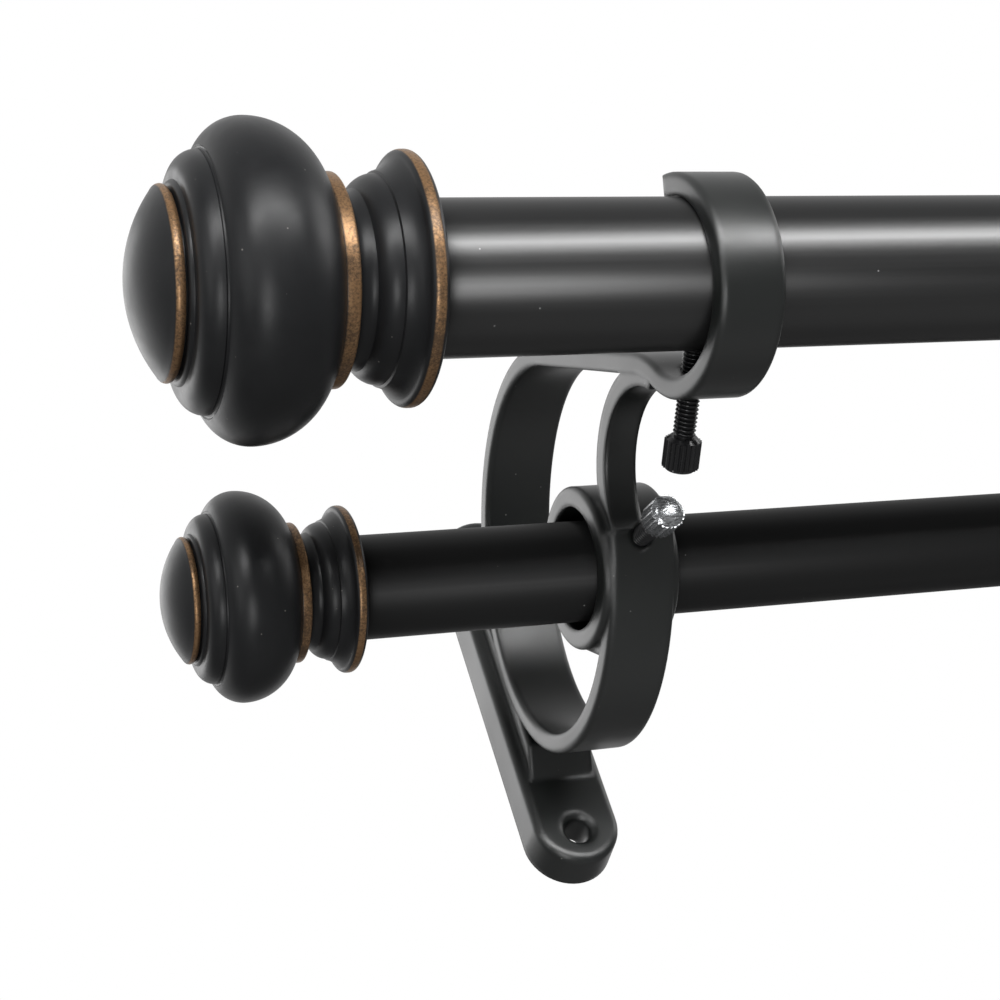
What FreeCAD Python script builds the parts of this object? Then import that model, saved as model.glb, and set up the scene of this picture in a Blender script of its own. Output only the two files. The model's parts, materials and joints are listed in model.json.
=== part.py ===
import FreeCAD, Part
import math
import os

from FreeCAD import Vector

# Double curtain pole: two telescopic poles in two cast wall brackets, closed to its shortest length.
# Millimetres. The wall is the plane y = 0 and the room lies towards -Y, with +Z up.
# The origin is on the wall, in the middle of the left bracket's wall plate.

# Poles
pole_length = 711.0          # between the finials' rear faces with the poles pushed together
inner_tube_room = 103.0      # each inner tube is this much shorter than the closed pole
front_pole_radius = 12.7
rear_pole_radius = 9.525
tube_wall = 0.9
tube_gap = 0.3               # running gap between inner and outer tube
tube_end_gap = 1.0           # outer tube's end to the right finial
end_overhang = 51.0          # bracket's middle to the nearer finial

# Finial, sizes for the front pole
cup_radius = 20.2
cup_thickness = 3.0
cup_throat_radius = 16.9
bead_radius = 16.5
waist_radius = 13.8
neck_ring_radius = 16.8
bulb_radius = 25.1
flange_radius = 20.1
button_radius = 15.0
cup_throat_at = 5.9          # places along the axis, from the rear face out
waist_at = 11.0
neck_ring_at = 12.8
neck_ring_width = 2.3
bulb_at = 26.7
flange_at = 33.3
button_at = 38.5
button_rim_width = 1.7
finial_length = 44.9
socket_gap = 0.3             # pole in the finial's rear socket
socket_depth = 6.0

# Plug and stud that hold a finial in its tube
plug_length = 14.0
plug_gap = 0.05
stud_radius = 2.5
stud_gap = 0.05
stud_in_finial = 12.0

# Bracket, front pole's place from the wall and from the plate's middle
front_reach = 129.0
front_height = -4.5

# Bracket, cast strip: hook, arm and ring are one bent band
arm_slope = 46.8             # the arm climbs from the hook to the ring at this angle
strip_hook_width = 11.4      # the strip widens evenly from the hook to the ring's wall side
strip_ring_width = 14.6
strip_thickness = 3.9
hook_bore_radius = 14.9
hook_tip_angle = 80.0        # where the open end stops, from the arm's direction
arm_drop = 15.3              # arm's middle below the front pole's axis, square to the arm
bend_radius = 19.5           # reverse bend between hook and arm
ring_half_width = 32.2       # oval, to the strip's middle
ring_half_height = 38.2
ring_end_drop = 45.9         # where the ring's front end stops, from the front pole
ring_sink = 1.4              # how deep the ring is cast into the plate's pad
edge_round = 0.8

# Bracket, eye for the rear pole and the tongue that ties it to the arm
eye_bore_radius = 11.7
eye_wall = 3.7
eye_width = 15.0
eye_drop = 54.5              # eye's middle below the front pole, square to the arm
eye_inset = 0.3              # collar's face behind the ring's front face
tongue_width = 6.2
tongue_thickness = 3.7
tongue_dip = 1.9             # how deep the tongue is cast into the arm
tongue_top_angle = 104.0
tongue_foot_angle = -37.0    # where the tongue's curve meets the ring's front end
tongue_overlap = 4.0         # degrees that its foot runs on into the ring

# Bracket, wall plate
plate_width = 18.5
plate_length = 89.4
plate_thickness = 8.5
plate_draft = 0.4
plate_round = 1.5
pad_width = 13.6
pad_half_length = 21.5
pad_height = 4.5
pad_slope = 6.0
pocket_wall = 2.4
pocket_depth = 5.2
pocket_half_length = 29.0
wall_hole_radius = 2.75
wall_hole_rim_radius = 3.8
wall_hole_offset = 37.0

# Thumb screws
screw_radius = 2.0
screw_gap = 0.05
contact_gap = 0.05           # screw's tip to pole, and pole to its seat
front_screw_angle = -73.0    # directions in the arm's plane, from the arm's own direction
rear_screw_angle = 153.5
screw_length = 22.4
head_radius = 3.25
head_height = 6.2
head_chamfer = 0.6
knurl_ribs = 24
knurl_depth = 0.28
tip_chamfer = 0.5

# Sizes that follow
inner_shrink = tube_wall + tube_gap
bracket_spacing = pole_length - 2 * end_overhang
left_end = -end_overhang
right_end = left_end + pole_length
inner_length = pole_length - inner_tube_room
rear_scale = rear_pole_radius / front_pole_radius
slope = math.radians(arm_slope)
half_strip = strip_thickness / 2
ring_drop = arm_drop + ring_half_height
ring_wall_reach = math.hypot((ring_half_width + half_strip) * math.cos(slope),
                             (ring_half_height + half_strip) * math.sin(slope))
ring_out = front_reach - plate_thickness - pad_height + ring_sink - ring_wall_reach
ring_reach = (ring_out - ring_drop * math.sin(slope)) / math.cos(slope)
ring_middle = Vector(ring_reach, -ring_drop, 0)
ring_front = ring_reach - ring_half_width - half_strip


def polar(centre, radius, degrees):
    """The point at this distance and angle from a centre in the drawing plane."""
    angle = math.radians(degrees)
    return centre + Vector(radius * math.cos(angle), radius * math.sin(angle), 0)


def arc(centre, radius, start, end):
    """A round edge from one angle to another."""
    points = [polar(centre, radius, degrees) for degrees in (start, (start + end) / 2, end)]
    return Part.Arc(*points).toShape()


def line(start, end):
    return Part.LineSegment(start, end).toShape()


def face_of(edges):
    return Part.Face(Part.Wire(Part.__sortEdges__(edges)))


def extrude_wide(face, start, width):
    """Gives a drawing its width along the poles."""
    face.translate(Vector(0, 0, start))
    return face.extrude(Vector(0, 0, width))


def strip_half_width(x):
    """Half the strip's width at this place along the arm."""
    start = hook_centre().x - hook_bore_radius - strip_thickness
    share = (x - start) / (ring_reach + ring_half_width + half_strip - start)
    return (strip_hook_width + share * (strip_ring_width - strip_hook_width)) / 2


def tapered(face):
    """Gives a drawing the strip's tapering width."""
    box = face.BoundBox
    corners = [(box.XMin, -1), (box.XMax, -1), (box.XMax, 1), (box.XMin, 1)]
    points = [Vector(x, box.YMin, side * strip_half_width(x)) for x, side in corners]
    wedge = Part.Face(Part.makePolygon(points + points[:1])).extrude(Vector(0, box.YLength, 0))
    return extrude_wide(face, -strip_ring_width, 2 * strip_ring_width).common(wedge)


def round_sides(solid, radius, half_width_at):
    """Rounds the outline edges of the two side faces."""
    def on_side(edge):
        points = [vertex.Point for vertex in edge.Vertexes]
        points.append(edge.valueAt((edge.FirstParameter + edge.LastParameter) / 2))
        return all(abs(abs(point.z) - half_width_at(point.x)) < 1e-4 for point in points)
    return solid.makeFillet(radius, [edge for edge in solid.Edges if on_side(edge)])


def stand_up(shape):
    """Turns the drawing into the brackets' section, its x up the arm from the front pole's axis."""
    shape.rotate(Vector(0, 0, 0), Vector(1, 1, 1), 120)
    shape.rotate(Vector(0, 0, 0), Vector(1, 0, 0), arm_slope)
    shape.translate(Vector(0, -front_reach, front_height))
    return shape


def on_wall(point):
    """A point of the drawing in the brackets' section: its distance along Y and its height."""
    out = point.x * math.cos(slope) - point.y * math.sin(slope)
    rise = point.x * math.sin(slope) + point.y * math.cos(slope)
    return out - front_reach, rise + front_height


def hook_centre():
    """The screw pushes the pole against the far side, so the bore's middle lies off towards the screw."""
    return polar(Vector(0, 0, 0), hook_bore_radius - front_pole_radius - contact_gap, front_screw_angle)


def eye_centre():
    return Vector(ring_front + eye_inset + eye_bore_radius + eye_wall, -eye_drop, 0)


def rear_pole_centre():
    """The rear pole also bears on the far side of its bore."""
    return polar(eye_centre(), eye_bore_radius - rear_pole_radius - contact_gap, rear_screw_angle + 180)


def ring_arc(half_width, half_height):
    """The oval from its top, round the wall side and the bottom, to the ring's front end."""
    top = ring_middle + Vector(0, half_height, 0)
    side = ring_middle + Vector(half_width, 0, 0)
    end = 2 * math.pi - math.acos((ring_drop - ring_end_drop) / half_height)
    if half_height > half_width:
        return Part.ArcOfEllipse(Part.Ellipse(top, side, ring_middle), 0, end).toShape()
    bottom = ring_middle - Vector(0, half_height, 0)
    quarter = math.pi / 2
    return Part.ArcOfEllipse(Part.Ellipse(side, bottom, ring_middle), -quarter, end - quarter).toShape()


def strip_side(offset):
    """One side of the bent strip, hook's tip to ring's front end, this far from its middle line."""
    hook = hook_centre()
    hook_radius = hook_bore_radius + half_strip
    drop = -arm_drop - bend_radius - hook.y
    run = math.sqrt((hook_radius + bend_radius) ** 2 - drop ** 2)
    bend = Vector(hook.x + run, -arm_drop - bend_radius, 0)
    turn = math.degrees(math.atan2(drop, bend.x - hook.x))
    level = offset - arm_drop
    return [
        arc(hook, hook_radius - offset, hook_tip_angle, 360 + turn),
        arc(bend, bend_radius + offset, 180 + turn, 90),
        line(Vector(bend.x, level, 0), Vector(ring_reach, level, 0)),
        ring_arc(ring_half_width + offset, ring_half_height + offset),
    ]


def bent_strip():
    """Hook, reverse bend, arm and ring as one band of even thickness."""
    inside = strip_side(half_strip)
    outside = strip_side(-half_strip)
    tip = line(inside[0].Vertexes[0].Point, outside[0].Vertexes[0].Point)
    end = line(inside[-1].Vertexes[-1].Point, outside[-1].Vertexes[-1].Point)
    face = face_of(inside + outside + [tip, end])
    return round_sides(tapered(face), edge_round, strip_half_width)


def eye():
    """The collar round the rear pole, with the foot that joins its lower side to the ring."""
    centre = eye_centre()
    radius = eye_bore_radius + eye_wall
    disc = Part.Face(Part.Wire(Part.Circle(centre, Vector(0, 0, 1), radius).toShape()))
    collar = extrude_wide(disc, -eye_width / 2, eye_width)
    collar = round_sides(collar, edge_round, lambda x: eye_width / 2)
    foot_end = ring_front + 0.9 * strip_thickness
    foot = Part.makeBox(centre.x - foot_end, radius, strip_hook_width)
    foot.translate(Vector(foot_end, centre.y - radius, -strip_hook_width / 2))
    return collar.fuse(foot)


def tongue():
    """The narrow curved strip from the arm down to the ring's front, flush with the strip's left side."""
    half = tongue_thickness / 2
    rise = math.sin(math.radians(-tongue_foot_angle))
    radius = (ring_end_drop - arm_drop - half_strip + tongue_dip - half) / (1 + rise)
    share = (ring_drop - ring_end_drop) / ring_half_height
    meets = ring_middle.x - ring_half_width * math.sqrt(1 - share ** 2)
    centre = polar(Vector(meets, -ring_end_drop, 0), radius, tongue_foot_angle + 180)
    foot_angle = tongue_foot_angle - tongue_overlap
    outer = arc(centre, radius + half, foot_angle, tongue_top_angle)
    inner = arc(centre, radius - half, foot_angle, tongue_top_angle)
    foot = line(outer.Vertexes[0].Point, inner.Vertexes[0].Point)
    top = line(outer.Vertexes[-1].Point, inner.Vertexes[-1].Point)
    return extrude_wide(face_of([outer, top, inner, foot]), -strip_hook_width / 2, tongue_width)


def slot_outline(half_width, half_length, y):
    """A round-ended upright outline on the wall plane."""
    straight = half_length - half_width
    upper = [Vector(half_width, y, straight), Vector(0, y, half_length), Vector(-half_width, y, straight)]
    lower = [Vector(-half_width, y, -straight), Vector(0, y, -half_length), Vector(half_width, y, -straight)]
    return Part.Wire([
        line(lower[2], upper[0]),
        Part.Arc(*upper).toShape(),
        line(upper[2], lower[0]),
        Part.Arc(*lower).toShape(),
    ])


def wall_plate():
    """Round-ended plate with drafted sides, a rounded front edge and a hollow back between the holes."""
    half_width = plate_width / 2
    half_length = plate_length / 2
    back = slot_outline(half_width, half_length, 0)
    front = slot_outline(half_width - plate_draft, half_length - plate_draft, -plate_thickness)
    plate = Part.makeLoft([back, front], True, True)
    rim = [edge for edge in plate.Edges if edge.BoundBox.YMax < -plate_thickness + 0.01]
    plate = plate.makeFillet(plate_round, rim)
    pocket = Part.Face(slot_outline(half_width - pocket_wall, pocket_half_length, 0))
    return plate.cut(pocket.extrude(Vector(0, -pocket_depth, 0)))


def pad_middle():
    """The height on the plate where the ring comes nearest to the wall."""
    along = (ring_half_width + half_strip) ** 2 * math.cos(slope)
    across = -(ring_half_height + half_strip) ** 2 * math.sin(slope)
    return on_wall(ring_middle + Vector(along, across, 0) / ring_wall_reach)[1]


def pad():
    """The raised block on the plate that carries the ring, with sloping ends."""
    base = -plate_thickness
    top = base - pad_height
    middle = pad_middle()
    corners = [
        (base, pad_half_length), (top, pad_half_length - pad_slope),
        (top, pad_slope - pad_half_length), (base, -pad_half_length),
    ]
    points = [Vector(-pad_width / 2, y, middle + z) for y, z in corners]
    block = Part.Face(Part.makePolygon(points + points[:1])).extrude(Vector(pad_width, 0, 0))
    upper = [edge for edge in block.Edges if edge.BoundBox.YMax < base - 0.01]
    return block.makeFillet(edge_round, upper)


def screw_direction(degrees):
    """The direction in which a thumb screw's head points, in the bracket's section."""
    angle = math.radians(degrees + arm_slope)
    return Vector(0, math.cos(angle), math.sin(angle))


def rod(start, direction, radius, length):
    return Part.makeCylinder(radius, length, start, direction)


def wall_hole(height):
    """A screw hole through the plate with a chamfered rim."""
    hole = rod(Vector(0, 0, height), Vector(0, -1, 0), wall_hole_radius, plate_thickness)
    depth = wall_hole_rim_radius - wall_hole_radius
    rim_at = Vector(0, depth - plate_thickness, height)
    rim = Part.makeCone(wall_hole_radius, wall_hole_rim_radius, depth, rim_at, Vector(0, -1, 0))
    return hole.fuse(rim)


def bracket():
    """The whole casting in the left bracket's place."""
    body = stand_up(bent_strip().fuse([eye(), tongue()]))
    body = body.fuse([wall_plate(), pad()])
    bore = rod(Vector(0, 0, -eye_width), Vector(0, 0, 1), eye_bore_radius, 2 * eye_width)
    bore.translate(eye_centre())
    front = rod(Vector(0, *on_wall(Vector(0, 0, 0))), screw_direction(front_screw_angle),
                screw_radius + screw_gap, front_pole_radius + screw_length)
    rear = rod(Vector(0, *on_wall(rear_pole_centre())), screw_direction(rear_screw_angle),
               screw_radius + screw_gap, rear_pole_radius + screw_length)
    holes = [wall_hole(-wall_hole_offset), wall_hole(wall_hole_offset)]
    return body.cut([stand_up(bore), front, rear] + holes).removeSplitter()


def thumb_screw(axis, pole_radius, angle):
    """A screw with a straight-knurled head, its tip against the pole."""
    head_at = screw_length - head_height
    profile = [
        (0, 0), (screw_radius - tip_chamfer, 0), (screw_radius, tip_chamfer), (screw_radius, head_at),
        (head_radius - head_chamfer, head_at), (head_radius, head_at + head_chamfer),
        (head_radius, screw_length - head_chamfer), (head_radius - head_chamfer, screw_length),
        (0, screw_length),
    ]
    points = [Vector(radius, 0, height) for radius, height in profile]
    turned = Part.Face(Part.makePolygon(points + points[:1])).revolve(Vector(0, 0, 0), Vector(0, 0, 1), 360)
    corners = []
    for rib in range(knurl_ribs):
        corners.append(polar(Vector(0, 0, 0), head_radius, 360 / knurl_ribs * rib))
        corners.append(polar(Vector(0, 0, 0), head_radius - knurl_depth, 360 / knurl_ribs * (rib + 0.5)))
    ribs = Part.Face(Part.makePolygon(corners + corners[:1])).extrude(Vector(0, 0, screw_length))
    screw = turned.common(ribs)
    screw.rotate(Vector(0, 0, 0), Vector(1, 0, 0), angle + arm_slope - 90)
    screw.translate(Vector(0, *axis) + screw_direction(angle) * (pole_radius + contact_gap))
    return screw


def tube(outer_radius, start, end):
    outside = rod(Vector(start, 0, 0), Vector(1, 0, 0), outer_radius, end - start)
    return outside.cut(rod(Vector(start, 0, 0), Vector(1, 0, 0), outer_radius - tube_wall, end - start))


def turned_finial(scale, pole_radius):
    """The finial's section turned about its axis: rear face at x = 0, button towards -X."""
    s = scale
    def p(along, radius):
        return Vector(-along * s, radius * s, 0)
    def curve(*places):
        return Part.Arc(*[p(*place) for place in places]).toShape()
    def straight(*places):
        return line(*[p(*place) for place in places])
    ring_end = neck_ring_at + neck_ring_width
    rim_front = button_at + button_rim_width
    back_drop = bulb_radius - neck_ring_radius
    back_run = bulb_at - ring_end
    back_round = (back_run ** 2 + back_drop ** 2) / (2 * back_drop)
    back_half = math.atan2(back_run, back_round - back_drop) / 2
    front_drop = bulb_radius - flange_radius - 0.6
    front_run = flange_at - bulb_at
    front_round = (front_run ** 2 + front_drop ** 2) / (2 * front_drop)
    front_half = math.atan2(front_run, front_round - front_drop) / 2
    dome_edge = button_radius - 0.6
    dome_rise = finial_length - rim_front
    dome_round = (dome_rise ** 2 + dome_edge ** 2) / (2 * dome_rise)
    dome_mid = finial_length - dome_round + math.sqrt(dome_round ** 2 - dome_edge ** 2 / 4)
    back_centre = bulb_radius - back_round
    front_centre = bulb_radius - front_round
    section = [
        straight((0, 0), (0, cup_radius - 1.2)),
        curve((0, cup_radius - 1.2), (0.4, cup_radius - 0.35), (cup_thickness / 2, cup_radius)),
        curve((cup_thickness / 2, cup_radius), (cup_thickness - 0.4, cup_radius - 0.35),
              (cup_thickness, cup_radius - 1.1)),
        curve((cup_thickness, cup_radius - 1.1), (cup_thickness + 1.1, cup_throat_radius + 0.9),
              (cup_throat_at, cup_throat_radius)),
        straight((cup_throat_at, cup_throat_radius), (cup_throat_at + 0.2, bead_radius)),
        curve((cup_throat_at + 0.2, bead_radius), (cup_throat_at + 2.2, bead_radius - 0.6),
              (waist_at - 1.4, waist_radius + 0.4)),
        curve((waist_at - 1.4, waist_radius + 0.4), (waist_at, waist_radius),
              (neck_ring_at - 0.4, waist_radius + 0.6)),
        straight((neck_ring_at - 0.4, waist_radius + 0.6), (neck_ring_at, neck_ring_radius - 0.5)),
        curve((neck_ring_at, neck_ring_radius - 0.5), (neck_ring_at + 0.15, neck_ring_radius - 0.15),
              (neck_ring_at + 0.5, neck_ring_radius)),
        straight((neck_ring_at + 0.5, neck_ring_radius), (ring_end, neck_ring_radius)),
        curve((ring_end, neck_ring_radius),
              (bulb_at - back_round * math.sin(back_half), back_centre + back_round * math.cos(back_half)),
              (bulb_at, bulb_radius)),
        curve((bulb_at, bulb_radius),
              (bulb_at + front_round * math.sin(front_half),
               front_centre + front_round * math.cos(front_half)),
              (flange_at, flange_radius + 0.6)),
        curve((flange_at, flange_radius + 0.6), (flange_at + 0.25, flange_radius - 0.1),
              (flange_at + 0.5, flange_radius)),
        curve((flange_at + 0.5, flange_radius), (flange_at + 2.9, flange_radius - 1.1),
              (button_at - 1.2, button_radius + 1.2)),
        straight((button_at - 1.2, button_radius + 1.2), (button_at - 1.1, button_radius + 0.6)),
        curve((button_at - 1.1, button_radius + 0.6), (button_at - 0.6, button_radius + 0.3),
              (button_at - 0.4, button_radius - 0.4)),
        straight((button_at - 0.4, button_radius - 0.4), (button_at - 0.3, button_radius - 1.2)),
        straight((button_at - 0.3, button_radius - 1.2), (button_at, button_radius - 1.2)),
        straight((button_at, button_radius - 1.2), (button_at, button_radius - 0.5)),
        curve((button_at, button_radius - 0.5), (button_at + button_rim_width / 2, button_radius),
              (rim_front, dome_edge)),
        curve((rim_front, dome_edge), (dome_mid, dome_edge / 2), (finial_length, 0)),
        straight((finial_length, 0), (0, 0)),
    ]
    body = face_of(section).revolve(Vector(0, 0, 0), Vector(1, 0, 0), 360)
    socket = rod(Vector(-socket_depth * s, 0, 0), Vector(1, 0, 0), pole_radius + socket_gap, socket_depth * s)
    thread_start = -(socket_depth + stud_in_finial) * s
    thread = rod(Vector(thread_start, 0, 0), Vector(1, 0, 0), stud_radius * s + stud_gap, -thread_start)
    return body.cut([socket, thread])


def plug(tube_radius, scale):
    """The round insert in a tube's end, threaded for the stud, at x = 0 towards +X."""
    body = rod(Vector(0, 0, 0), Vector(1, 0, 0), tube_radius - tube_wall - plug_gap, plug_length * scale)
    hole = rod(Vector(0, 0, 0), Vector(1, 0, 0), stud_radius * scale + stud_gap, plug_length * scale)
    return body.cut(hole)


def stud(scale):
    """The threaded rod between finial and plug, with the tube's end at x = 0."""
    start = -stud_in_finial * scale
    return rod(Vector(start, 0, 0), Vector(1, 0, 0), stud_radius * scale, plug_length * scale - start)


def pole_set(name, axis, radius, scale):
    """One telescopic pole with its end fittings, keyed by node name."""
    depth = socket_depth * scale
    tube_start = left_end - depth
    tube_end = right_end - tube_end_gap
    inner_radius = radius - inner_shrink
    inner_end = right_end + depth
    finial = turned_finial(scale, radius)
    left = [("left_finial", finial.copy(), left_end), ("left_plug", plug(radius, scale), tube_start),
            ("left_stud", stud(scale), tube_start)]
    right = [("right_finial", finial.copy(), right_end), ("right_plug", plug(inner_radius, scale), inner_end),
             ("right_stud", stud(scale), inner_end)]
    pieces = {
        "outer_tube": tube(radius, tube_start, tube_end),
        "inner_tube": tube(inner_radius, inner_end - inner_length, inner_end),
    }
    for piece, shape, place in left:
        shape.translate(Vector(place, 0, 0))
        pieces[piece] = shape
    for piece, shape, place in right:
        shape.rotate(Vector(0, 0, 0), Vector(0, 0, 1), 180)
        shape.translate(Vector(place, 0, 0))
        pieces[piece] = shape
    for shape in pieces.values():
        shape.translate(Vector(0, *axis))
    return {name + "_" + piece: shape for piece, shape in pieces.items()}


def all_pieces():
    front_axis = on_wall(Vector(0, 0, 0))
    rear_axis = on_wall(rear_pole_centre())
    pieces = {}
    pieces.update(pole_set("front", front_axis, front_pole_radius, 1.0))
    pieces.update(pole_set("rear", rear_axis, rear_pole_radius, rear_scale))
    casting = bracket()
    front_screw = thumb_screw(front_axis, front_pole_radius, front_screw_angle)
    rear_screw = thumb_screw(rear_axis, rear_pole_radius, rear_screw_angle)
    for side, place in (("left", 0), ("right", bracket_spacing)):
        for name, shape in ((side + "_bracket", casting), ("front_" + side + "_thumb_screw", front_screw),
                            ("rear_" + side + "_thumb_screw", rear_screw)):
            pieces[name] = shape.copy()
            pieces[name].translate(Vector(place, 0, 0))
    return pieces


os.makedirs("parts", exist_ok=True)
for node, solid in all_pieces().items():
    solid.exportStep("parts/" + node + ".step")
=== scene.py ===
import bpy
import bmesh
import json
import math
from mathutils import Matrix, Vector


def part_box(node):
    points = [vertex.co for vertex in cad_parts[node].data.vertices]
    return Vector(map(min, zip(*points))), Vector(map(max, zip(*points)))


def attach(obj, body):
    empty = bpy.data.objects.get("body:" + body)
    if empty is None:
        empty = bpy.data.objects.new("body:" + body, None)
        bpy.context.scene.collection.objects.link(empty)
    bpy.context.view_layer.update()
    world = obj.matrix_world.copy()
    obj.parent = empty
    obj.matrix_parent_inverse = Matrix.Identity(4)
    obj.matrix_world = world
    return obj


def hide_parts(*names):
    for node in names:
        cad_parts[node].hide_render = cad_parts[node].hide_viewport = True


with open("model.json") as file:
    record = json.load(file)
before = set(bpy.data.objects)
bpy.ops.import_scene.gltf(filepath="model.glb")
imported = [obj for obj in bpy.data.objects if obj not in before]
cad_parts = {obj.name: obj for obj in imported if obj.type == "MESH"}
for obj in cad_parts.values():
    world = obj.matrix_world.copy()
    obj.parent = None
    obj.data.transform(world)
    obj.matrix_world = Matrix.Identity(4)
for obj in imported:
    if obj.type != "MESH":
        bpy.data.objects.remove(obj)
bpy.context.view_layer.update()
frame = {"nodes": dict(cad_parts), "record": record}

MM = 0.001
WHITE = (1, 1, 1, 1)

# Finial, millimetres at the front pole's size, measured along the axis from the cup's rear face
CUP_RADIUS = 20.2
CUP_THICKNESS = 3.0
CUP_THROAT = (5.9, 16.9)        # place and radius, as for the waist, bulb, flange and button
BEAD_RADIUS = 16.5
WAIST = (11.0, 13.8)
NECK_RING = (12.8, 15.1)        # where it starts and ends
NECK_RING_RADIUS = 16.8
BULB = (26.7, 25.1)
FLANGE = (33.3, 20.1)
BUTTON = (38.5, 15.0)
BUTTON_RIM = 1.7
FINIAL_LENGTH = 44.9
SOCKET_DEPTH = 6.0
SOCKET_GAP = 0.3
REAR_FINIAL_SCALE = 0.75
BRONZE_BANDS = ((0.8, 2.45), (12.75, 15.05), (38.45, 39.9))
BAND_LEAST_RADIUS = 14.0        # no bronze nearer to the axis than this

# Thumb screw, millimetres from its tip
THREAD_RADIUS = 2.0
THREAD_PITCH = 0.76
THREAD_DEPTH = 0.36
THREAD_FILL = 0.94              # share of the pitch that the ridge takes
THREAD_START = 0.7              # where its helix starts, above the tip
THREAD_MARGINS = 1.2            # by how much the helix is shorter than the shank
TIP_CHAMFER = 0.35
HEAD_RADIUS = 3.25
HEAD_HEIGHT = 6.2
HEAD_CHAMFER = 0.6
HEAD_ROUND = 0.1
KNURL_RIBS = 24
KNURL_DEPTH = 0.28
CONTACT_GAP = 0.05              # between the tip and the pole
SCREW_LENGTH = 22.4
WORN_LENGTH = 8.0               # over which the wear fades, from the head's end
ARM_SLOPE = 46.8                # degrees
SCREW_ANGLES = {"front": -73.0, "rear": 153.5}      # degrees from the arm's slope

# Tubes, in metres
TUBE_WALL = 0.0009
TUBE_EDGE = 0.0002

# Steps round a turned piece, a screw and one turn of its thread
TURN_STEPS = 192
SCREW_STEPS = 96
THREAD_STEPS = 40

# Camera: its place and nearest sight in metres, its lens and sensor in millimetres
CAMERA_AT = Vector((-0.1441, -0.33059, -0.21917))
CAMERA_FORWARD = Vector((0.33991, 0.72176, 0.60299))
CAMERA_RIGHT = Vector((0.93874, -0.22167, -0.26387))
CAMERA_LENS = 70.2
CAMERA_SENSOR = 36.0
CAMERA_NEAR = 0.01

# Light: the sky's strength is its level plus its slope along each axis, within its range
SKY_LEVEL = 0.11
SKY_SLOPE = (0.0, 0.45, 0.6)
SKY_RANGE = (0.05, 0.9)

# Softboxes: name, place, where it points, size in metres and watts
NEAR_BRACKET = (0.0, -0.12, -0.01)
FAR_END = (0.65, -0.1, 0.0)
SOFTBOXES = (
    ("key", (-0.1, -1.1, 0.05), NEAR_BRACKET, (1.8, 0.24), 19.0),
    ("left", (-1.0, -0.45, -0.1), NEAR_BRACKET, (0.5, 0.8), 1.5),
    ("back left", (-0.55, 0.95, 0.9), NEAR_BRACKET, (0.9, 0.9), 3.6),
    ("right end", (2.4, -0.8, 0.7), FAR_END, (1.2, 1.2), 16.0),
    ("glint", (-0.45, -0.6, -0.8), NEAR_BRACKET, (0.35, 0.35), 2.6),
    ("below", (0.1, 0.35, -1.0), NEAR_BRACKET, (1.4, 0.6), 0.2))

# Floor: pale to the camera, which also sees it lifted, and darker in the light that it bounces
FLOOR_LEVEL = -1.6
FLOOR_REACH = 60.0
FLOOR_SEEN = (0.86, 0.86, 0.86)
FLOOR_BOUNCE = (0.27, 0.27, 0.27)
FLOOR_LIFT = 0.54

# Distance between the node editor's columns and between its rows
NODE_COLUMN = 240
NODE_ROW = 200

# Noise values between which a surface goes from its smoothest to its roughest
NOISE_LOW = 0.3
NOISE_HIGH = 0.7


def node(tree, kind, **settings):
    """Adds a node, with sockets set by name and the rest as properties."""
    made = tree.nodes.new(kind)
    for key, value in settings.items():
        if key in made.inputs:
            made.inputs[key].default_value = value
        else:
            setattr(made, key, value)
    return made


def connect(tree, *pairs):
    """Links each output to its input."""
    for source, target in pairs:
        tree.links.new(source, target)


def feed(tree, value, socket):
    """Gives an input its value: another node's output, or a plain number or colour."""
    if isinstance(value, bpy.types.NodeSocket):
        tree.links.new(value, socket)
    else:
        socket.default_value = value


def lay_out(tree):
    """Spreads a tree's nodes in columns, from its end at the right back to its sources."""
    column = {}
    waiting = [(made, 0) for made in tree.nodes if not any(end.is_linked for end in made.outputs)]
    while waiting:
        made, steps = waiting.pop()
        if column.get(made.name, -1) < steps:
            column[made.name] = steps
            waiting += [(link.from_node, steps + 1) for end in made.inputs for link in end.links]
    filled = {}
    for name, steps in column.items():
        tree.nodes[name].location = (-NODE_COLUMN * steps, -NODE_ROW * filled.get(steps, 0))
        filled[steps] = filled.get(steps, 0) + 1


def ramp(tree, source, stops):
    """A ramp of greys between two (position, value) stops."""
    made = node(tree, "ShaderNodeValToRGB")
    for element, (position, value) in zip(made.color_ramp.elements, stops):
        element.position = position
        element.color = (value, value, value, 1)
    tree.links.new(source, made.inputs["Fac"])
    return made.outputs["Color"]


def roughness_from(tree, source, smoothest, roughest):
    """A roughness that follows a noise."""
    return ramp(tree, source, ((NOISE_LOW, smoothest), (NOISE_HIGH, roughest)))


def blend_colours(tree, factor, first, second):
    """Mixes two colours, each a socket or a plain colour, by a socket."""
    made = node(tree, "ShaderNodeMix", data_type="RGBA")
    tree.links.new(factor, made.inputs[0])
    # A Mix node takes colours at its inputs 6 and 7, and gives one at its output 2
    for colour, socket in ((first, made.inputs[6]), (second, made.inputs[7])):
        plain = not isinstance(colour, bpy.types.NodeSocket)
        feed(tree, (*colour, 1) if plain else colour, socket)
    return made.outputs[2]


def times(tree, first, second):
    """Multiplies a socket by another one or by a plain number."""
    made = node(tree, "ShaderNodeMath", operation="MULTIPLY")
    feed(tree, first, made.inputs[0])
    feed(tree, second, made.inputs[1])
    return made.outputs[0]


def noise(tree, scale, detail, roughness):
    """Noise on the piece's own coordinates, with this many features in a metre."""
    where = node(tree, "ShaderNodeTexCoord")
    made = node(tree, "ShaderNodeTexNoise", Scale=scale, Detail=detail, Roughness=roughness)
    tree.links.new(where.outputs["Object"], made.inputs["Vector"])
    return made.outputs["Fac"]


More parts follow.
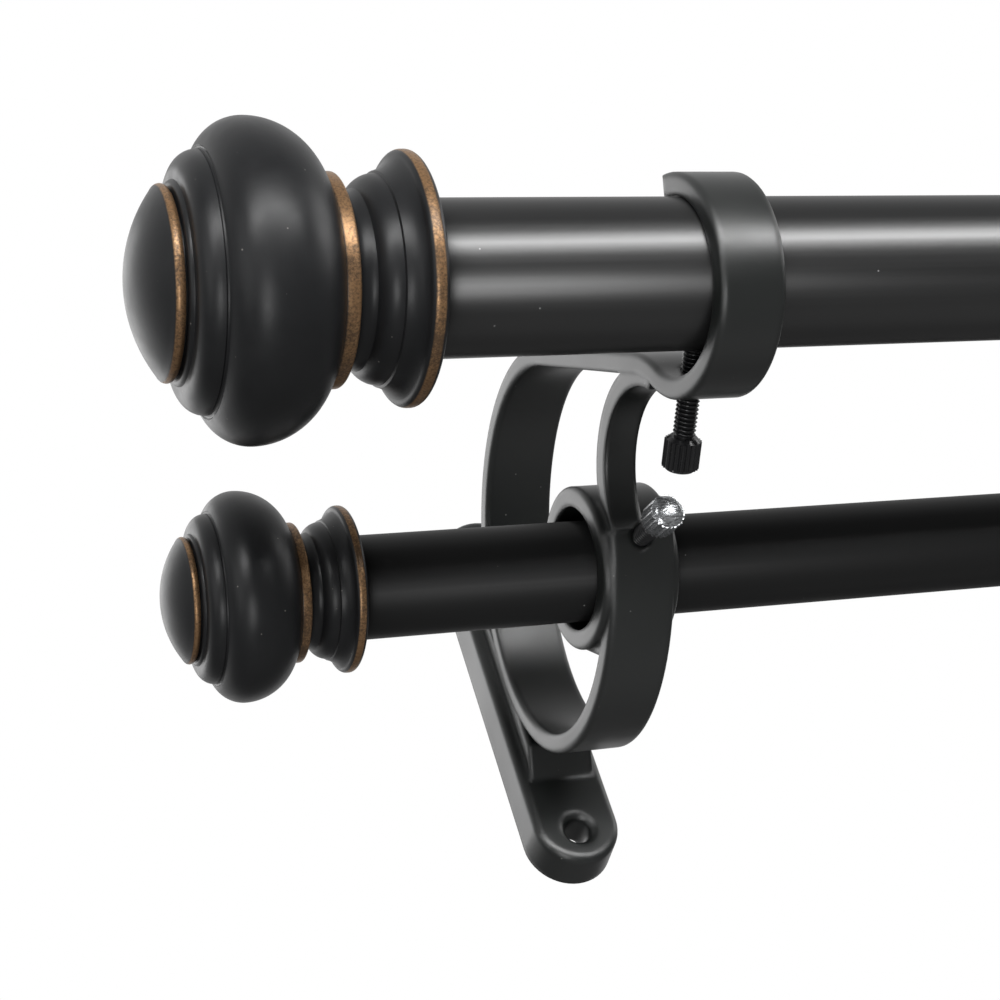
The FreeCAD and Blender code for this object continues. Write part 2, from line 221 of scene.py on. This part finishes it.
def streaks(tree, features, detail):
    """Noise drawn out along X: the features in a metre differ from axis to axis."""
    where = node(tree, "ShaderNodeTexCoord")
    drawn = node(tree, "ShaderNodeMapping", Scale=features)
    made = node(tree, "ShaderNodeTexNoise", Scale=1.0, Detail=detail)
    connect(tree,
            (where.outputs["Object"], drawn.inputs["Vector"]),
            (drawn.outputs["Vector"], made.inputs["Vector"]))
    return made.outputs["Fac"]


def specks(tree, scale, size):
    """Small round spots in some of the cells, white where there is dust."""
    where = node(tree, "ShaderNodeTexCoord")
    cells = node(tree, "ShaderNodeTexVoronoi", Scale=scale)
    tree.links.new(where.outputs["Object"], cells.inputs["Vector"])
    spot = ramp(tree, cells.outputs["Distance"], ((size * 0.6, 1), (size, 0)))
    chosen = ramp(tree, cells.outputs["Color"], ((0.66, 0), (0.7, 1)))
    return times(tree, spot, chosen)


def bump(tree, height, strength, distance, rounded=0.0):
    """A bump from a height, over edges rounded by this radius."""
    made = node(tree, "ShaderNodeBump", Strength=strength, Distance=distance)
    tree.links.new(height, made.inputs["Height"])
    if rounded:
        soft = node(tree, "ShaderNodeBevel", Radius=rounded, samples=6)
        tree.links.new(soft.outputs["Normal"], made.inputs["Normal"])
    return made.outputs["Normal"]


def new_material(name):
    """A material and its tree, ready for its own nodes."""
    made = bpy.data.materials.new(name)
    made.use_nodes = True
    return made, made.node_tree


def finish_material(made, values):
    """Gives the shader's inputs their values by name, and lays the nodes out."""
    shader = made.node_tree.nodes["Principled BSDF"]
    for name, value in values.items():
        feed(made.node_tree, value, shader.inputs[name])
    lay_out(made.node_tree)
    return made


def bracket_powder_coat():
    """Satin black powder coat on the castings: orange peel, uneven sheen, softened edges, grey dust."""
    darkest = (0.0045, 0.0057, 0.0054)
    lightest = (0.0095, 0.011, 0.0105)
    dust_grey = (0.2, 0.2, 0.19)
    made, tree = new_material("bracket powder coat")
    broad = noise(tree, scale=45.0, detail=3.0, roughness=0.5)
    peel = noise(tree, scale=2600.0, detail=2.0, roughness=0.5)
    dust = specks(tree, scale=420.0, size=0.07)
    coat = blend_colours(tree, broad, darkest, lightest)
    return finish_material(made, {
        "Base Color": blend_colours(tree, dust, coat, dust_grey),
        "Roughness": roughness_from(tree, broad, smoothest=0.3, roughest=0.4),
        "Specular IOR Level": 0.85,
        "Normal": bump(tree, peel, strength=0.16, distance=0.04 * MM, rounded=1.6 * MM)})


def tube_paint(name, smoothest, roughest, gloss):
    """Smooth satin black paint on a pole, with a few dust specks and long faint rub marks."""
    darkest = (0.0036, 0.0038, 0.004)
    lightest = (0.006, 0.006, 0.0062)
    dust_grey = (0.22, 0.22, 0.22)
    made, tree = new_material(name)
    broad = noise(tree, scale=22.0, detail=3.0, roughness=0.5)
    fine = noise(tree, scale=1900.0, detail=2.0, roughness=0.5)
    rubs = streaks(tree, features=(6.0, 700.0, 700.0), detail=3.0)
    dust = specks(tree, scale=300.0, size=0.055)
    coat = blend_colours(tree, broad, darkest, lightest)
    return finish_material(made, {
        "Base Color": blend_colours(tree, dust, coat, dust_grey),
        "Roughness": roughness_from(tree, rubs, smoothest, roughest),
        "Specular IOR Level": gloss,
        "Normal": bump(tree, fine, strength=0.1, distance=0.03 * MM)})


def finial_finish():
    """Matte black, and bronze rubbed through where the piece's band attribute says."""
    darkest = (0.0085, 0.0088, 0.0096)
    lightest = (0.0135, 0.014, 0.015)
    dust_grey = (0.16, 0.15, 0.14)
    dark_bronze = (0.12, 0.058, 0.026)
    bright_bronze = (0.44, 0.27, 0.14)
    made, tree = new_material("finial finish")
    band = node(tree, "ShaderNodeAttribute", attribute_name="band")
    grain = noise(tree, scale=2400.0, detail=4.0, roughness=0.65)
    patches = noise(tree, scale=160.0, detail=4.0, roughness=0.6)
    broken = ramp(tree, times(tree, grain, patches), ((0.16, 0.35), (0.28, 1.0)))
    rubbed = times(tree, band.outputs["Fac"], broken)
    coat = blend_colours(tree, patches, darkest, lightest)
    dust = specks(tree, scale=380.0, size=0.06)
    dusty = blend_colours(tree, dust, coat, dust_grey)
    bronze = blend_colours(tree, grain, dark_bronze, bright_bronze)
    return finish_material(made, {
        "Base Color": blend_colours(tree, rubbed, dusty, bronze),
        "Metallic": times(tree, rubbed, 0.75),
        "Roughness": roughness_from(tree, patches, smoothest=0.33, roughest=0.42),
        "Specular IOR Level": 0.3,
        "Normal": bump(tree, grain, strength=0.2, distance=0.06 * MM)})


def screw_plating():
    """Glossy black plating, rubbed to bright scratched steel where the piece's wear attribute says."""
    plating = (0.012, 0.012, 0.013)
    dull_steel = (0.3, 0.31, 0.32)
    bright_steel = (0.82, 0.84, 0.86)
    made, tree = new_material("screw plating")
    wear = node(tree, "ShaderNodeAttribute", attribute_name="wear")
    grain = noise(tree, scale=1500.0, detail=5.0, roughness=0.7)
    scratches = streaks(tree, features=(900.0, 5200.0, 5200.0), detail=4.0)
    torn = ramp(tree, scratches, ((0.4, 0.1), (0.56, 1.0)))
    shows = times(tree, wear.outputs["Fac"], torn)
    steel = blend_colours(tree, scratches, dull_steel, bright_steel)
    return finish_material(made, {
        "Base Color": blend_colours(tree, shows, plating, steel),
        "Metallic": shows,
        "Roughness": roughness_from(tree, grain, smoothest=0.16, roughest=0.3),
        "Normal": bump(tree, scratches, strength=0.25, distance=0.04 * MM)})


def stud_steel():
    """Zinc-plated steel of the hidden studs, with a thread-like turning mark."""
    made, tree = new_material("stud steel")
    broad = noise(tree, scale=500.0, detail=3.0, roughness=0.5)
    where = node(tree, "ShaderNodeTexCoord")
    turns = node(tree, "ShaderNodeTexWave", Scale=200.0, bands_direction="X")
    tree.links.new(where.outputs["Object"], turns.inputs["Vector"])
    return finish_material(made, {
        "Base Color": blend_colours(tree, broad, (0.42, 0.43, 0.44), (0.66, 0.67, 0.68)),
        "Metallic": 1.0,
        "Roughness": 0.35,
        "Normal": bump(tree, turns.outputs["Fac"], strength=0.6, distance=0.3 * MM)})


def plug_plastic():
    """Moulded black plastic of the tube plugs."""
    made, tree = new_material("plug plastic")
    broad = noise(tree, scale=300.0, detail=3.0, roughness=0.5)
    fine = noise(tree, scale=2000.0, detail=2.0, roughness=0.5)
    return finish_material(made, {
        "Base Color": blend_colours(tree, broad, (0.012, 0.012, 0.012), (0.022, 0.022, 0.022)),
        "Roughness": 0.55,
        "Normal": bump(tree, fine, strength=0.2, distance=0.05 * MM)})


def arc_through(start, middle, end, steps):
    """Points of the circle through three points, without the start."""
    a, b, c = (Vector((*p, 0)) for p in (start, middle, end))
    turn = (b - a).cross(c - b).z
    d = 2 * (a.x * (b.y - c.y) + b.x * (c.y - a.y) + c.x * (a.y - b.y))
    aa, bb, cc = a.length_squared, b.length_squared, c.length_squared
    centre = Vector(((aa * (b.y - c.y) + bb * (c.y - a.y) + cc * (a.y - b.y)) / d,
                     (aa * (c.x - b.x) + bb * (a.x - c.x) + cc * (b.x - a.x)) / d, 0))
    radius = (a - centre).length
    first = math.atan2(a.y - centre.y, a.x - centre.x)
    sweep = math.atan2(c.y - centre.y, c.x - centre.x) - first
    if turn > 0 and sweep < 0:
        sweep += 2 * math.pi
    if turn < 0 and sweep > 0:
        sweep -= 2 * math.pi
    angles = [first + sweep * (i + 1) / steps for i in range(steps)]
    return [(centre.x + radius * math.cos(t), centre.y + radius * math.sin(t)) for t in angles]


def middle_of_crown(top, foot):
    """The middle of the arc that is level at its top and runs down to its foot."""
    run = foot[0] - top[0]
    drop = top[1] - foot[1]
    radius = (run ** 2 + drop ** 2) / (2 * drop)
    half = math.atan2(run, radius - drop) / 2
    return top[0] + radius * math.sin(half), top[1] - radius * (1 - math.cos(half))


def turned(name, profile, attributes=None, steps=TURN_STEPS):
    """A closed mesh turned about the X axis from (along, radius) points, in metres."""
    made = bmesh.new()
    angles = [2 * math.pi * i / steps for i in range(steps)]
    rings = []
    for along, radius in profile:
        if radius < 1e-7:
            rings.append([made.verts.new((along, 0, 0))])
        else:
            places = [(along, radius * math.cos(t), radius * math.sin(t)) for t in angles]
            rings.append([made.verts.new(place) for place in places])
    hollow = len(rings[0]) > 1 and len(rings[-1]) > 1
    closed = rings + rings[:1] if hollow else rings
    for first, second in zip(closed, closed[1:]):
        for i in range(steps):
            j = (i + 1) % steps
            corners = [first[i % len(first)], first[j % len(first)]]
            corners += [second[j % len(second)], second[i % len(second)]]
            # A ring on the axis is a single vertex, so its corners fall together
            made.faces.new(list(dict.fromkeys(corners)))
    bmesh.ops.recalc_face_normals(made, faces=made.faces)
    mesh = bpy.data.meshes.new(name)
    made.to_mesh(mesh)
    made.free()
    for key, value_at in (attributes or {}).items():
        layer = mesh.attributes.new(key, "FLOAT", "POINT")
        for vertex in mesh.vertices:
            layer.data[vertex.index].value = value_at(vertex.co)
    return mesh


def smooth(mesh, degrees):
    """Smooth shading with creases at edges sharper than this."""
    mesh.polygons.foreach_set("use_smooth", [True] * len(mesh.polygons))
    made = bmesh.new()
    made.from_mesh(mesh)
    for edge in made.edges:
        edge.smooth = len(edge.link_faces) == 2 and edge.calc_face_angle(0) < math.radians(degrees)
    made.to_mesh(mesh)
    made.free()


def show(name, mesh, material, replaced, body):
    """Puts a finished mesh in the scene in place of a CAD node, on this body."""
    made = bpy.data.objects.new(name, mesh)
    bpy.context.scene.collection.objects.link(made)
    if not mesh.materials:
        mesh.materials.append(material)
    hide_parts(replaced)
    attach(made, body)


def body_with(node_name):
    """The CAD body that carries a node."""
    bodies = frame["record"]["behaviour"]["bodies"]
    return next(body for body, nodes in bodies.items() if node_name in nodes)


def axis_of(node_name):
    """The Y and Z of a round node that lies along X."""
    low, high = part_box(node_name)
    return (low.y + high.y) / 2, (low.z + high.z) / 2


def finial_profile():
    """The turned outline from the cup's rear edge to the button's tip, in millimetres.

    Plain numbers are small roundings and steps, and each curve ends with its count of points.
    """
    throat_at, throat = CUP_THROAT
    waist_at, waist = WAIST
    ring_start, ring_end = NECK_RING
    bulb_at, bulb = BULB
    flange_at, flange = FLANGE
    button_at, button = BUTTON
    rim_front = button_at + BUTTON_RIM
    points = [(0, CUP_RADIUS - 1.2)]

    def curve(middle, end, steps):
        points.extend(arc_through(points[-1], middle, end, steps))

    # Cup with its rounded rim, down to the throat
    curve((0.4, CUP_RADIUS - 0.35), (CUP_THICKNESS / 2, CUP_RADIUS), 8)
    curve((CUP_THICKNESS - 0.4, CUP_RADIUS - 0.35), (CUP_THICKNESS, CUP_RADIUS - 1.1), 8)
    curve((CUP_THICKNESS + 1.1, throat + 0.9), (throat_at, throat), 12)

    # Bead and waist
    points.append((throat_at + 0.2, BEAD_RADIUS))
    curve((throat_at + 2.2, BEAD_RADIUS - 0.6), (waist_at - 1.4, waist + 0.4), 12)
    curve((waist_at, waist), (ring_start - 0.4, waist + 0.6), 10)

    # Neck ring
    points.append((ring_start, NECK_RING_RADIUS - 0.5))
    curve((ring_start + 0.15, NECK_RING_RADIUS - 0.15), (ring_start + 0.5, NECK_RING_RADIUS), 5)
    points.append((ring_end - 0.3, NECK_RING_RADIUS))
    points.append((ring_end, NECK_RING_RADIUS - 0.1))

    # Bulb, over its crown to the flange
    back_foot = (ring_end, NECK_RING_RADIUS)
    front_foot = (flange_at, flange + 0.6)
    curve(middle_of_crown(BULB, back_foot), BULB, 28)
    curve(middle_of_crown(BULB, front_foot), front_foot, 22)
    curve((flange_at + 0.25, flange - 0.1), (flange_at + 0.5, flange), 5)
    curve((flange_at + 2.9, flange - 1.1), (button_at - 1.2, button + 1.2), 14)

    # Step down to the button
    points.append((button_at - 1.1, button + 0.6))
    curve((button_at - 0.6, button + 0.3), (button_at - 0.4, button - 0.4), 6)
    points.append((button_at - 0.3, button - 1.2))
    points.append((button_at, button - 1.2))

    # Button's rim and dome
    points.append((button_at, button - 0.5))
    curve((button_at + BUTTON_RIM / 2, button), (rim_front, button - 0.6), 8)
    rise = FINIAL_LENGTH - rim_front
    edge = button - 0.6
    dome = (rise ** 2 + edge ** 2) / (2 * rise)
    middle = FINIAL_LENGTH - dome + math.sqrt(dome ** 2 - edge ** 2 / 4)
    curve((middle, edge / 2), (FINIAL_LENGTH, 0), 16)

    # The last point lies exactly on the axis
    points[-1] = (FINIAL_LENGTH, 0)
    return points


def finial_mesh(name, scale, pole_radius, place, outward, axis):
    """A turned finial with its socket, at its place in the part's frame."""
    socket = (pole_radius / MM + SOCKET_GAP) / scale
    lip = 0.3
    section = [(SOCKET_DEPTH, 0), (SOCKET_DEPTH, socket), (lip, socket), (0, socket + lip)]
    section += finial_profile()

    def band(point):
        along = point.x / MM / scale
        radius = math.hypot(point.y, point.z) / MM / scale
        inside = any(low <= along <= high for low, high in BRONZE_BANDS)
        return 1.0 if inside and radius > BAND_LEAST_RADIUS else 0.0

    profile = [(along * scale * MM, radius * scale * MM) for along, radius in section]
    mesh = turned(name, profile, {"band": band})
    if outward < 0:
        mesh.transform(Matrix.Rotation(math.pi, 4, "Z"))
    mesh.transform(Matrix.Translation((place, *axis)))
    smooth(mesh, degrees=28)
    return mesh


def dress_finials(material):
    """Replaces the four finials by finely turned ones with bronze bands."""
    for pole, scale in (("front", 1.0), ("rear", REAR_FINIAL_SCALE)):
        tube_low, tube_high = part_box(pole + "_outer_tube")
        radius = (tube_high.z - tube_low.z) / 2
        for side, outward in (("left", -1), ("right", 1)):
            name = "%s_%s_finial" % (pole, side)
            low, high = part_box(name)
            place = high.x if outward < 0 else low.x
            mesh = finial_mesh(name + "_turned", scale, radius, place, outward, axis_of(name))
            show(name + "_turned", mesh, material, name, body_with(name))


def dress_tubes(pole, material):
    """Replaces a pole's two tubes by round ones with softened mouths."""
    for part in ("outer_tube", "inner_tube"):
        name = pole + "_" + part
        low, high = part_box(name)
        outside = (high.z - low.z) / 2
        inside = outside - TUBE_WALL
        soft = TUBE_EDGE
        profile = [(low.x, inside + soft), (low.x, outside - soft), (low.x + soft, outside)]
        profile += [(high.x - soft, outside), (high.x, outside - soft), (high.x, inside + soft)]
        profile += [(high.x - soft, inside), (low.x + soft, inside)]
        mesh = turned(name + "_drawn", profile)
        mesh.transform(Matrix.Translation((0, *axis_of(name))))
        smooth(mesh, degrees=50)
        show(name + "_drawn", mesh, material, name, body_with(name))


def new_geometry_tree(name, inputs):
    """A geometry tree with these named inputs, and the sockets that give them."""
    tree = bpy.data.node_groups.new(name, "GeometryNodeTree")
    for label, kind in inputs.items():
        tree.interface.new_socket(label, in_out="INPUT", socket_type="NodeSocket" + kind)
    return tree, node(tree, "NodeGroupInput").outputs


def finish_geometry_tree(tree, geometry, material):
    """Ends a geometry tree in Realize Instances and Set Material."""
    tree.interface.new_socket("Geometry", in_out="OUTPUT", socket_type="NodeSocketGeometry")
    realize = node(tree, "GeometryNodeRealizeInstances")
    paint = node(tree, "GeometryNodeSetMaterial")
    out = node(tree, "NodeGroupOutput")
    connect(tree,
            (geometry, realize.inputs["Geometry"]),
            (realize.outputs["Geometry"], paint.inputs["Geometry"]),
            (material, paint.inputs["Material"]),
            (paint.outputs["Geometry"], out.inputs["Geometry"]))
    lay_out(tree)


def knurl_tree():
    """Straight knurl: one four-sided rib set round a circle."""
    tree, given = new_geometry_tree("straight knurl", {
        "Ribs": "Int", "Root radius": "Float", "Rib size": "Float",
        "Start": "Float", "Length": "Float", "Material": "Material"})
    circle = node(tree, "GeometryNodeMeshCircle")
    rib = node(tree, "GeometryNodeMeshCylinder", Vertices=4)
    # The middle of a rib is half its length above its start
    middle = node(tree, "ShaderNodeMath", operation="MULTIPLY_ADD")
    middle.inputs[1].default_value = 0.5
    place = node(tree, "ShaderNodeCombineXYZ")
    lift = node(tree, "GeometryNodeTransform")
    spot = node(tree, "GeometryNodeInputPosition")
    facing = node(tree, "FunctionNodeAlignRotationToVector", axis="X")
    copies = node(tree, "GeometryNodeInstanceOnPoints")
    connect(tree,
            (given["Ribs"], circle.inputs["Vertices"]),
            (given["Root radius"], circle.inputs["Radius"]),
            (given["Rib size"], rib.inputs["Radius"]),
            (given["Length"], rib.inputs["Depth"]),
            (given["Length"], middle.inputs[0]),
            (given["Start"], middle.inputs[2]),
            (middle.outputs[0], place.inputs["Z"]),
            (rib.outputs["Mesh"], lift.inputs["Geometry"]),
            (place.outputs["Vector"], lift.inputs["Translation"]),
            (spot.outputs["Position"], facing.inputs["Vector"]),
            (circle.outputs["Mesh"], copies.inputs["Points"]),
            (lift.outputs["Geometry"], copies.inputs["Instance"]),
            (facing.outputs["Rotation"], copies.inputs["Rotation"]))
    finish_geometry_tree(tree, copies.outputs["Instances"], given["Material"])
    return tree


def thread_tree():
    """A screw thread: a diamond section, 1 across before it is scaled, swept along a helix."""
    tree, given = new_geometry_tree("screw thread", {
        "Helix radius": "Float", "Depth": "Float", "Pitch": "Float",
        "Turns": "Float", "Length": "Float", "Material": "Material"})
    helix = node(tree, "GeometryNodeCurveSpiral", Resolution=THREAD_STEPS)
    level = node(tree, "GeometryNodeSetCurveNormal", mode="Z_UP")
    diamond = node(tree, "GeometryNodeCurvePrimitiveCircle", Resolution=4, Radius=0.5)
    size = node(tree, "ShaderNodeCombineXYZ", Z=1.0)
    section = node(tree, "GeometryNodeTransform")
    sweep = node(tree, "GeometryNodeCurveToMesh")
    sweep.inputs["Fill Caps"].default_value = True
    connect(tree,
            (given["Helix radius"], helix.inputs["Start Radius"]),
            (given["Helix radius"], helix.inputs["End Radius"]),
            (given["Turns"], helix.inputs["Rotations"]),
            (given["Length"], helix.inputs["Height"]),
            (given["Depth"], size.inputs["X"]),
            (given["Pitch"], size.inputs["Y"]),
            (diamond.outputs["Curve"], section.inputs["Geometry"]),
            (size.outputs["Vector"], section.inputs["Scale"]),
            (helix.outputs["Curve"], level.inputs["Curve"]),
            (level.outputs["Curve"], sweep.inputs["Curve"]),
            (section.outputs["Geometry"], sweep.inputs["Profile Curve"]))
    finish_geometry_tree(tree, sweep.outputs["Mesh"], given["Material"])
    return tree


def grown(tree, values):
    """The plain mesh that a geometry tree gives for these named inputs."""
    holder = bpy.data.objects.new("grown", bpy.data.meshes.new("grown"))
    bpy.context.scene.collection.objects.link(holder)
    maker = holder.modifiers.new("grown", "NODES")
    maker.node_group = tree
    for item in tree.interface.items_tree:
        if item.in_out == "INPUT":
            maker[item.identifier] = values[item.name]
    bpy.context.view_layer.update()
    seen = bpy.context.evaluated_depsgraph_get()
    mesh = bpy.data.meshes.new_from_object(holder.evaluated_get(seen))
    bpy.data.objects.remove(holder)
    return mesh


def screw_blank(name, material, root, blank):
    """A thumb screw's plain body along +Z from its tip, before it is knurled and threaded."""
    length = SCREW_LENGTH
    head_at = length - HEAD_HEIGHT
    shoulder = blank - HEAD_CHAMFER
    profile = [
        (0, 0), (0, root - TIP_CHAMFER), (TIP_CHAMFER, root), (head_at, root), (head_at, shoulder),
        (head_at + HEAD_CHAMFER, blank), (length - HEAD_CHAMFER, blank),
        (length - HEAD_ROUND, shoulder + HEAD_ROUND), (length, shoulder - HEAD_ROUND), (length, 0)]
    body = turned(name, [(along * MM, radius * MM) for along, radius in profile], steps=SCREW_STEPS)
    body.transform(Matrix.Rotation(-math.pi / 2, 4, "Y"))
    body.materials.append(material)
    smooth(body, degrees=30)
    return body


def screw_mesh(name, material, knurl, thread, worn_end):
    """A thumb screw along +Z from its tip at the origin, with knurled head and cut thread, in metres."""
    head_at = SCREW_LENGTH - HEAD_HEIGHT
    root = THREAD_RADIUS - THREAD_DEPTH
    blank = HEAD_RADIUS - KNURL_DEPTH
    body = screw_blank(name, material, root, blank)
    ribs = grown(knurl, {
        "Ribs": KNURL_RIBS, "Root radius": blank * MM, "Rib size": KNURL_DEPTH * MM,
        "Start": (head_at + HEAD_CHAMFER) * MM, "Length": (HEAD_HEIGHT - 2 * HEAD_CHAMFER) * MM,
        "Material": material})
    thread_length = head_at - THREAD_MARGINS
    turns = grown(thread, {
        "Helix radius": root * MM, "Depth": 2 * THREAD_DEPTH * MM,
        "Pitch": THREAD_PITCH * THREAD_FILL * MM, "Turns": thread_length / THREAD_PITCH,
        "Length": thread_length * MM, "Material": material})
    turns.transform(Matrix.Translation((0, 0, THREAD_START * MM)))
    joined = bmesh.new()
    for piece in (body, ribs, turns):
        joined.from_mesh(piece)
    bmesh.ops.recalc_face_normals(joined, faces=joined.faces)
    joined.to_mesh(body)
    joined.free()
    layer = body.attributes.new("wear", "FLOAT", "POINT")
    for vertex in body.vertices:
        from_end = SCREW_LENGTH - vertex.co.z / MM
        layer.data[vertex.index].value = max(0.0, 1.0 - from_end / WORN_LENGTH) if worn_end else 0.0
    return body


def dress_screws(material):
    """Replaces the four thumb screws by ones with a real thread and knurl."""
    knurl = knurl_tree()
    thread = thread_tree()
    for pole, angle in SCREW_ANGLES.items():
        tilt = math.radians(angle + ARM_SLOPE)
        outward = Vector((0, math.cos(tilt), math.sin(tilt)))
        tube_low, tube_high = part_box(pole + "_outer_tube")
        reach = (tube_high.z - tube_low.z) / 2 + CONTACT_GAP * MM
        tip = Vector((0, *axis_of(pole + "_outer_tube"))) + outward * reach
        turn = outward.to_track_quat("Z", "X").to_matrix().to_4x4()
        for side in ("left", "right"):
            name = "%s_%s_thumb_screw" % (pole, side)
            low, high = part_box(name)
            middle = Vector(((low.x + high.x) / 2, 0, 0))
            mesh = screw_mesh(name + "_cut", material, knurl, thread, pole == "rear")
            mesh.transform(Matrix.Translation(tip + middle) @ turn)
            show(name + "_cut", mesh, material, name, body_with(name))


def coat_nodes(materials):
    """Gives the CAD nodes that stay their own finish, by the ending of their names."""
    for name, made in frame["nodes"].items():
        for ending, material in materials.items():
            if name.endswith(ending):
                made.data.materials.clear()
                made.data.materials.append(material)


def hang_softbox(name, place, aim, size, power):
    """A rectangular area light pointed at a place."""
    lamp = bpy.data.lights.new(name, "AREA")
    lamp.shape = "RECTANGLE"
    lamp.size, lamp.size_y = size
    lamp.energy = power
    made = bpy.data.objects.new(name, lamp)
    made.location = place
    made.rotation_euler = (Vector(aim) - Vector(place)).to_track_quat("-Z", "Y").to_euler()
    bpy.context.scene.collection.objects.link(made)


def paint_sky():
    """A world that is white to the camera, and for the rest bright above and behind, dim in front."""
    world = bpy.data.worlds.new("studio")
    bpy.context.scene.world = world
    world.use_nodes = True
    tree = world.node_tree
    tree.nodes.clear()
    way = node(tree, "ShaderNodeTexCoord")
    share = node(tree, "ShaderNodeVectorMath", operation="DOT_PRODUCT")
    share.inputs[1].default_value = SKY_SLOPE
    level = node(tree, "ShaderNodeMath", operation="ADD")
    level.inputs[1].default_value = SKY_LEVEL
    held = node(tree, "ShaderNodeClamp", Min=SKY_RANGE[0], Max=SKY_RANGE[1])
    around = node(tree, "ShaderNodeBackground", Color=WHITE)
    seen = node(tree, "ShaderNodeBackground", Color=WHITE, Strength=1.0)
    rays = node(tree, "ShaderNodeLightPath")
    choice = node(tree, "ShaderNodeMixShader")
    out = node(tree, "ShaderNodeOutputWorld")
    connect(tree,
            (way.outputs["Generated"], share.inputs[0]),
            (share.outputs["Value"], level.inputs[0]),
            (level.outputs[0], held.inputs["Value"]),
            (held.outputs[0], around.inputs["Strength"]),
            (rays.outputs["Is Camera Ray"], choice.inputs[0]),
            (around.outputs[0], choice.inputs[1]),
            (seen.outputs[0], choice.inputs[2]),
            (choice.outputs[0], out.inputs["Surface"]))
    lay_out(tree)


def lay_floor():
    """A wide pale floor far below, out of the way of views from underneath."""
    mesh = bpy.data.meshes.new("floor")
    sides = ((-1, -1), (1, -1), (1, 1), (-1, 1))
    corners = [(x * FLOOR_REACH, y * FLOOR_REACH, FLOOR_LEVEL) for x, y in sides]
    mesh.from_pydata(corners, [], [(0, 1, 2, 3)])
    made = bpy.data.objects.new("floor", mesh)
    bpy.context.scene.collection.objects.link(made)
    pale, tree = new_material("pale floor")
    seen = node(tree, "ShaderNodeLightPath").outputs["Is Camera Ray"]
    mesh.materials.append(finish_material(pale, {
        "Base Color": blend_colours(tree, seen, FLOOR_BOUNCE, FLOOR_SEEN),
        "Roughness": 0.9,
        "Specular IOR Level": 0.1,
        "Emission Color": WHITE,
        "Emission Strength": times(tree, seen, FLOOR_LIFT)}))


def set_camera():
    """The photograph's view, from below on the left."""
    lens = bpy.data.cameras.new("camera")
    lens.lens = CAMERA_LENS
    lens.sensor_width = CAMERA_SENSOR
    lens.clip_start = CAMERA_NEAR
    made = bpy.data.objects.new("camera", lens)
    back = -CAMERA_FORWARD.normalized()
    up = back.cross(CAMERA_RIGHT).normalized()
    right = up.cross(back)
    turn = Matrix((right, up, back)).transposed().to_4x4()
    made.matrix_world = Matrix.Translation(CAMERA_AT) @ turn
    bpy.context.scene.collection.objects.link(made)
    bpy.context.scene.camera = made


set_camera()
lay_floor()
paint_sky()
for softbox in SOFTBOXES:
    hang_softbox(*softbox)
bpy.context.scene.view_settings.view_transform = "Standard"
dress_finials(finial_finish())
dress_tubes("front", tube_paint("front pole paint", smoothest=0.3, roughest=0.35, gloss=0.95))
dress_tubes("rear", tube_paint("rear pole paint", smoothest=0.45, roughest=0.52, gloss=0.4))
dress_screws(screw_plating())
coat_nodes({"_bracket": bracket_powder_coat(), "_stud": stud_steel(), "_plug": plug_plastic()})
